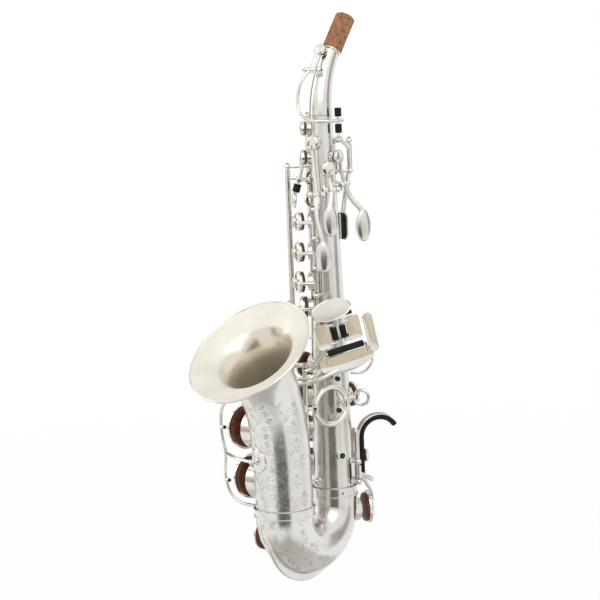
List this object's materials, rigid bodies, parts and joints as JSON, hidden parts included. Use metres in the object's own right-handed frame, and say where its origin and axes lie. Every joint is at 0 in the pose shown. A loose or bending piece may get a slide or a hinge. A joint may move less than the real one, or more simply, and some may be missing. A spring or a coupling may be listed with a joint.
{
  "type": "curved soprano saxophone",
  "caption": "Curved soprano saxophone with an upturned flared bell, bent neck with a cork, hinged keywork, little-finger table, sliding thumb hook and strap ring, without mouthpiece.",
  "frame": {"origin": "centre of the strap ring's eye", "axes": "+Z along the body tube's axis towards the neck, -Y towards the bell, +X towards the player's left hand"},
  "size_m": [0.0956, 0.1661, 0.4129],
  "materials": {
    "satin_silver": "satin silver plate over brass",
    "polished_silver": "polished silver plate over brass",
    "rod_steel": "ground steel",
    "cork": "matte cork with small dark pits",
    "pad_leather": "dark red-brown kid leather",
    "black_plastic": "black, slightly shiny"
  },
  "bodies": {
    "instrument_body": {"body_tube": "satin_silver", "bow": "satin_silver", "bell": "satin_silver", "neck_tube": "satin_silver", "neck_cork": "cork", "body_bow_ring": "polished_silver", "bell_bow_ring": "polished_silver", "bow_guard": "polished_silver", "upper_stack_rib": "polished_silver", "upper_stack_rod": "rod_steel", "lower_stack_rib": "polished_silver", "lower_stack_rod": "rod_steel", "palm_key_rib": "polished_silver", "front_f_rib": "polished_silver", "low_key_lower_bracket": "polished_silver", "low_key_upper_bracket": "polished_silver", "c_sharp_saddle": "polished_silver", "g_sharp_bracket": "polished_silver", "side_key_lower_rib": "polished_silver", "side_key_upper_rib": "polished_silver", "side_f_sharp_rib": "polished_silver", "low_c_rib": "polished_silver", "octave_rib": "polished_silver", "thumb_rest": "black_plastic", "neck_octave_saddle": "polished_silver", "thumb_hook_plate": "satin_silver", "strap_ring": "polished_silver", "bell_brace": "polished_silver", "bell_key_guard": "polished_silver"},
    "b_key": {"b_key": "polished_silver"},
    "a_key": {"a_key": "polished_silver"},
    "g_key": {"g_key": "polished_silver"},
    "g_sharp_key": {"g_sharp_key": "polished_silver"},
    "g_sharp_lever": {"g_sharp_lever": "polished_silver"},
    "f_key": {"f_key": "polished_silver"},
    "e_key": {"e_key": "polished_silver"},
    "d_key": {"d_key": "polished_silver"},
    "eb_key": {"eb_key": "polished_silver"},
    "palm_d_key": {"palm_d_key": "polished_silver"},
    "palm_eb_key": {"palm_eb_key": "polished_silver"},
    "palm_f_key": {"palm_f_key": "polished_silver"},
    "front_f_key": {"front_f_key": "polished_silver"},
    "low_bb_key": {"low_bb_key": "polished_silver", "low_bb_pad": "pad_leather"},
    "low_b_key": {"low_b_key": "polished_silver", "low_b_pad": "pad_leather"},
    "low_c_sharp_lever": {"low_c_sharp_lever": "polished_silver"},
    "low_c_sharp_key": {"low_c_sharp_key": "polished_silver"},
    "low_c_key": {"low_c_key": "polished_silver", "low_c_pad": "pad_leather"},
    "table_roller_bb": {"table_roller_bb": "black_plastic"},
    "table_roller_b": {"table_roller_b": "black_plastic"},
    "table_roller_c_sharp": {"table_roller_c_sharp": "black_plastic"},
    "side_e_key": {"side_e_key": "polished_silver"},
    "side_c_key": {"side_c_key": "polished_silver"},
    "side_bb_key": {"side_bb_key": "polished_silver"},
    "side_f_sharp_key": {"side_f_sharp_key": "polished_silver"},
    "octave_lever": {"octave_lever": "polished_silver"},
    "neck_octave_key": {"neck_octave_key": "polished_silver"},
    "thumb_hook": {"thumb_hook": "black_plastic"}
  },
  "joints": [
    {"name": "b_key_hinge", "type": "hinge", "parent": "instrument_body", "child": "b_key", "pos_m": [-0.01694, -0.02664, 0.1], "axis": [0, 0, -1], "range_deg": [0, 12], "stiffness_Nm_per_rad": 0.008, "springref_deg": -20.05},
    {"name": "a_key_hinge", "type": "hinge", "parent": "instrument_body", "child": "a_key", "pos_m": [-0.01694, -0.02664, 0.1], "axis": [0, 0, -1], "range_deg": [0, 12], "stiffness_Nm_per_rad": 0.008, "springref_deg": -20.05},
    {"name": "g_key_hinge", "type": "hinge", "parent": "instrument_body", "child": "g_key", "pos_m": [-0.01694, -0.02664, 0.1], "axis": [0, 0, -1], "range_deg": [0, 12], "stiffness_Nm_per_rad": 0.008, "springref_deg": -20.05},
    {"name": "g_sharp_key_hinge", "type": "hinge", "parent": "instrument_body", "child": "g_sharp_key", "pos_m": [-0.01694, -0.02664, 0.1], "axis": [0, 0, 1], "range_deg": [0, 12], "stiffness_Nm_per_rad": 0.004, "springref_deg": -20.05},
    {"name": "g_sharp_lever_hinge", "type": "hinge", "parent": "instrument_body", "child": "g_sharp_lever", "pos_m": [-0.00329, -0.03332, 0.064], "axis": [-0.5, -0.866, 0], "range_deg": [0, 8], "stiffness_Nm_per_rad": 0.012, "springref_deg": -20.05},
    {"name": "f_key_hinge", "type": "hinge", "parent": "instrument_body", "child": "f_key", "pos_m": [-0.03639, 0.0027, -0.011], "axis": [0, 0, 1], "range_deg": [0, 12], "stiffness_Nm_per_rad": 0.008, "springref_deg": -20.05},
    {"name": "e_key_hinge", "type": "hinge", "parent": "instrument_body", "child": "e_key", "pos_m": [-0.03639, 0.0027, -0.011], "axis": [0, 0, 1], "range_deg": [0, 12], "stiffness_Nm_per_rad": 0.008, "springref_deg": -20.05},
    {"name": "d_key_hinge", "type": "hinge", "parent": "instrument_body", "child": "d_key", "pos_m": [-0.03639, 0.0027, -0.011], "axis": [0, 0, 1], "range_deg": [0, 12], "stiffness_Nm_per_rad": 0.008, "springref_deg": -20.05},
    {"name": "eb_key_hinge", "type": "hinge", "parent": "instrument_body", "child": "eb_key", "pos_m": [-0.03639, 0.0027, -0.011], "axis": [0, 0, -1], "range_deg": [0, 12], "stiffness_Nm_per_rad": 0.012, "springref_deg": -20.05},
    {"name": "palm_d_key_hinge", "type": "hinge", "parent": "instrument_body", "child": "palm_d_key", "pos_m": [-0.01339, -0.02633, 0.152], "axis": [0.9135, 0.4067, 0], "range_deg": [0, 5], "stiffness_Nm_per_rad": 0.012, "springref_deg": -20.05},
    {"name": "palm_eb_key_hinge", "type": "hinge", "parent": "instrument_body", "child": "palm_eb_key", "pos_m": [-0.0053, -0.01878, 0.155], "axis": [0.4695, 0.8829, 0], "range_deg": [0, 8], "stiffness_Nm_per_rad": 0.012, "springref_deg": -20.05},
    {"name": "palm_f_key_hinge", "type": "hinge", "parent": "instrument_body", "child": "palm_f_key", "pos_m": [-0.00333, -0.00656, 0.158], "axis": [-0.2419, 0.9703, 0], "range_deg": [0, 8], "stiffness_Nm_per_rad": 0.012, "springref_deg": -20.05},
    {"name": "front_f_key_hinge", "type": "hinge", "parent": "instrument_body", "child": "front_f_key", "pos_m": [-0.03371, -0.02205, 0.162], "axis": [0.6428, -0.766, 0], "range_deg": [0, 8], "stiffness_Nm_per_rad": 0.012, "springref_deg": -20.05},
    {"name": "low_bb_key_hinge", "type": "hinge", "parent": "instrument_body", "child": "low_bb_key", "pos_m": [-0.03831, -0.0458, -0.016], "axis": [0, 0, 1], "range_deg": [0, 12], "stiffness_Nm_per_rad": 0.02, "springref_deg": -17.19},
    {"name": "low_b_key_hinge", "type": "hinge", "parent": "instrument_body", "child": "low_b_key", "pos_m": [-0.03131, -0.0408, -0.016], "axis": [0, 0, 1], "range_deg": [0, 12], "stiffness_Nm_per_rad": 0.02, "springref_deg": -17.19},
    {"name": "low_c_sharp_lever_hinge", "type": "hinge", "parent": "instrument_body", "child": "low_c_sharp_lever", "pos_m": [-0.02331, -0.0358, -0.016], "axis": [0, 0, 1], "range_deg": [0, 5], "stiffness_Nm_per_rad": 0.015, "springref_deg": -17.19},
    {"name": "low_c_sharp_key_hinge", "type": "hinge", "parent": "instrument_body", "child": "low_c_sharp_key", "pos_m": [-0.04431, -0.0438, -0.084], "axis": [0, 0, -1], "range_deg": [0, 13], "stiffness_Nm_per_rad": 0.004, "springref_deg": -20.05},
    {"name": "low_c_key_hinge", "type": "hinge", "parent": "instrument_body", "child": "low_c_key", "pos_m": [0.00087, -0.00706, -0.055], "axis": [0, 0, 1], "range_deg": [0, 14], "stiffness_Nm_per_rad": 0.015, "springref_deg": -20.05},
    {"name": "table_roller_bb_spin", "type": "hinge", "parent": "low_bb_key", "child": "table_roller_bb", "pos_m": [0.00807, -0.02565, 0.04114], "axis": [0.4891, 0.8471, 0.2079], "continuous": true},
    {"name": "table_roller_b_spin", "type": "hinge", "parent": "low_b_key", "child": "table_roller_b", "pos_m": [0.00737, -0.02686, 0.05395], "axis": [-0.104, -0.1801, 0.9781], "continuous": true},
    {"name": "table_roller_c_sharp_spin", "type": "hinge", "parent": "low_c_sharp_lever", "child": "table_roller_c_sharp", "pos_m": [0.004, -0.0327, 0.05252], "axis": [-0.104, -0.1801, 0.9781], "continuous": true},
    {"name": "side_e_key_hinge", "type": "hinge", "parent": "instrument_body", "child": "side_e_key", "pos_m": [-0.04071, -0.00256, 0.124], "axis": [0, 0, -1], "range_deg": [0, 8], "stiffness_Nm_per_rad": 0.012, "springref_deg": -20.05},
    {"name": "side_c_key_hinge", "type": "hinge", "parent": "instrument_body", "child": "side_c_key", "pos_m": [-0.04985, -0.01601, 0.104], "axis": [0, 0, 1], "range_deg": [0, 8], "stiffness_Nm_per_rad": 0.012, "springref_deg": -20.05},
    {"name": "side_bb_key_hinge", "type": "hinge", "parent": "instrument_body", "child": "side_bb_key", "pos_m": [-0.03131, 0.00826, 0.099], "axis": [0, 0, -1], "range_deg": [0, 8], "stiffness_Nm_per_rad": 0.012, "springref_deg": -20.05},
    {"name": "side_f_sharp_key_hinge", "type": "hinge", "parent": "instrument_body", "child": "side_f_sharp_key", "pos_m": [-0.03017, 0.00774, 0], "axis": [0, 0, 1], "range_deg": [0, 8], "stiffness_Nm_per_rad": 0.012, "springref_deg": -20.05},
    {"name": "octave_lever_hinge", "type": "hinge", "parent": "instrument_body", "child": "octave_lever", "pos_m": [-0.00641, 0.00359, 0.178], "axis": [0, 0, 1], "range_deg": [0, 6], "stiffness_Nm_per_rad": 0.012, "springref_deg": -20.05},
    {"name": "neck_octave_key_hinge", "type": "hinge", "parent": "instrument_body", "child": "neck_octave_key", "pos_m": [-0.02031, -0.01807, 0.24134], "axis": [1, 0, 0], "range_deg": [0, 4.5], "stiffness_Nm_per_rad": 0.008, "springref_deg": -20.05},
    {"name": "thumb_hook_slide", "type": "slide", "parent": "instrument_body", "child": "thumb_hook", "axis": [0, 0, 1], "range_m": [-0.004, 0.004]}
  ],
  "couplings": [
    {"joint": "g_sharp_key_hinge", "follows": "g_sharp_lever_hinge", "ratio": 1.5},
    {"joint": "low_c_sharp_key_hinge", "follows": "low_c_sharp_lever_hinge", "ratio": 2.6},
    {"joint": "neck_octave_key_hinge", "follows": "octave_lever_hinge", "ratio": 0.75}
  ]
}
